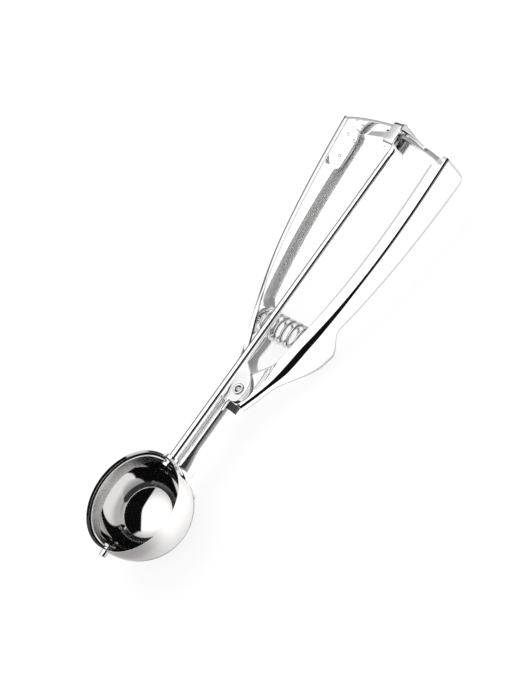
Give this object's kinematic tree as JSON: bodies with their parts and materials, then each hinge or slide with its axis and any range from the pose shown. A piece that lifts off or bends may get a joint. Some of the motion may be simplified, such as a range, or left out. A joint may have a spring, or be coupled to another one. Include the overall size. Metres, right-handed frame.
{
  "type": "ice cream scoop",
  "caption": "Polished steel lever scoop with a half-ball bowl, a turning sweep blade, a shaft driven by rack and pinion, two squeeze grips and a return spring.",
  "frame": {"origin": "on the floor plane, at the middle of the outline seen from above", "axes": "+Z out of the bowl's mouth, +Y along the tool from the bowl to the grips, +X towards the moving lever"},
  "size_m": [0.0717, 0.2398, 0.0349],
  "materials": {
    "bowl_steel": "mirror polished",
    "sheet_steel": "polished",
    "turned_steel": "polished",
    "blade_steel": "polished",
    "spring_steel": "bright drawn wire",
    "gear_steel": "machined",
    "weld_steel": "spot weld"
  },
  "bodies": {
    "frame": {"bowl": "bowl_steel", "saddle": "sheet_steel", "neck_stem": "sheet_steel", "neck_bush": "turned_steel", "far_pivot_pin": "turned_steel", "fixed_handle": "sheet_steel", "stem_welds": "weld_steel", "hinge_rivet": "turned_steel", "bridge_yoke": "sheet_steel", "bridge_welds": "weld_steel", "fixed_spring_seat": "sheet_steel", "return_spring": "spring_steel"},
    "sweep": {"sweep_shaft": "turned_steel", "blade_hub": "turned_steel", "sweep_blade": "blade_steel", "thrust_washer": "turned_steel", "drive_pinion": "gear_steel", "retaining_ring": "turned_steel"},
    "lever": {"squeeze_lever": "sheet_steel", "drive_rack": "gear_steel", "rack_welds": "weld_steel", "lever_spring_seat": "sheet_steel"}
  },
  "joints": [
    {"name": "lever_pivot", "type": "hinge", "parent": "frame", "child": "lever", "pos_m": [0, -0.02285, 0.0124], "axis": [0, 0, 1], "range_deg": [0, 5.65], "stiffness_Nm_per_rad": 1.5, "springref_deg": -5.73, "deforming": ["return_spring"]},
    {"name": "sweep_turn", "type": "hinge", "parent": "frame", "child": "sweep", "pos_m": [0, 0, 0.025], "axis": [0, 1, 0], "range_deg": [-175.1, 0]}
  ],
  "couplings": [
    {"joint": "sweep_turn", "follows": "lever_pivot", "ratio": -30.977}
  ]
}
